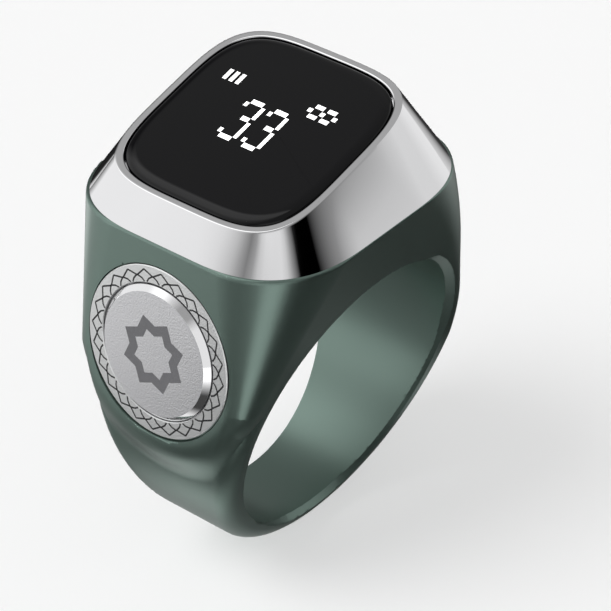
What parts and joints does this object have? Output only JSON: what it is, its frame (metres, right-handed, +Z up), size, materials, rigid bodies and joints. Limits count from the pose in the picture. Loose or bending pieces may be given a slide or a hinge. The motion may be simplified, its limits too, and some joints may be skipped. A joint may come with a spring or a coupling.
{
  "type": "digital tasbih counter",
  "caption": "Finger-ring digital tasbih counter: flared moulded ring with a tilted display in a tapered metal bezel and a round push button on its side.",
  "frame": {"origin": "centre of the finger bore", "axes": "+X along the finger bore, -Y towards the push button, +Z up through the display"},
  "size_m": [0.0194, 0.0244, 0.0318],
  "materials": {
    "ring_plastic": "satin-gloss moulded, dark sage green",
    "bezel_chrome": "polished",
    "gasket_rubber": "matte",
    "lens_glass": "glossy black-backed cover glass",
    "black_tape": "matte",
    "clear_bond": "clear",
    "display_glass": "glossy",
    "foam": "matte foam",
    "flex_film": "amber film",
    "tray_plastic": "matte black",
    "cell_foil": "satin foil",
    "nickel": "bright strip",
    "board_laminate": "green solder mask",
    "chip_resin": "moulded",
    "ceramic": "ceramic",
    "gilt": "gilt, polished",
    "motor_steel": "drawn steel",
    "magnet": "plated",
    "rotor_weight": "sintered heavy alloy",
    "surround_metal": "sand-blasted, engraved",
    "button_metal": "sand-blasted with a polished bevel",
    "dome_steel": "spring steel"
  },
  "bodies": {
    "ring": {"ring_body": "ring_plastic", "bezel": "bezel_chrome", "bezel_gasket": "gasket_rubber", "cover_lens": "lens_glass", "lens_adhesive": "black_tape", "optical_adhesive": "clear_bond", "oled_panel": "display_glass", "display_backing": "foam", "display_flex": "flex_film", "carrier": "tray_plastic", "battery": "cell_foil", "battery_tape": "black_tape", "battery_tabs": "nickel", "main_board": "board_laminate", "controller_chip": "chip_resin", "board_components": "ceramic", "charge_pins": "gilt", "motor_tape": "black_tape", "motor_base": "motor_steel", "motor_magnet": "magnet", "motor_shaft": "motor_steel", "motor_can": "motor_steel", "button_surround": "surround_metal", "surround_adhesive": "black_tape", "snap_dome": "dome_steel", "button_flex": "flex_film"},
    "button": {"button_cap": "button_metal"},
    "rotor": {"motor_rotor": "rotor_weight"}
  },
  "joints": [
    {"name": "button_press", "type": "slide", "parent": "ring", "child": "button", "axis": [0, 0.9848, -0.1736], "range_m": [0, 0.00025], "stiffness_N_per_m": 6000, "deforming": ["snap_dome"]},
    {"name": "motor_spin", "type": "hinge", "parent": "ring", "child": "rotor", "pos_m": [0, 0.00398, 0.0115], "axis": [0, 0, 1], "continuous": true}
  ]
}
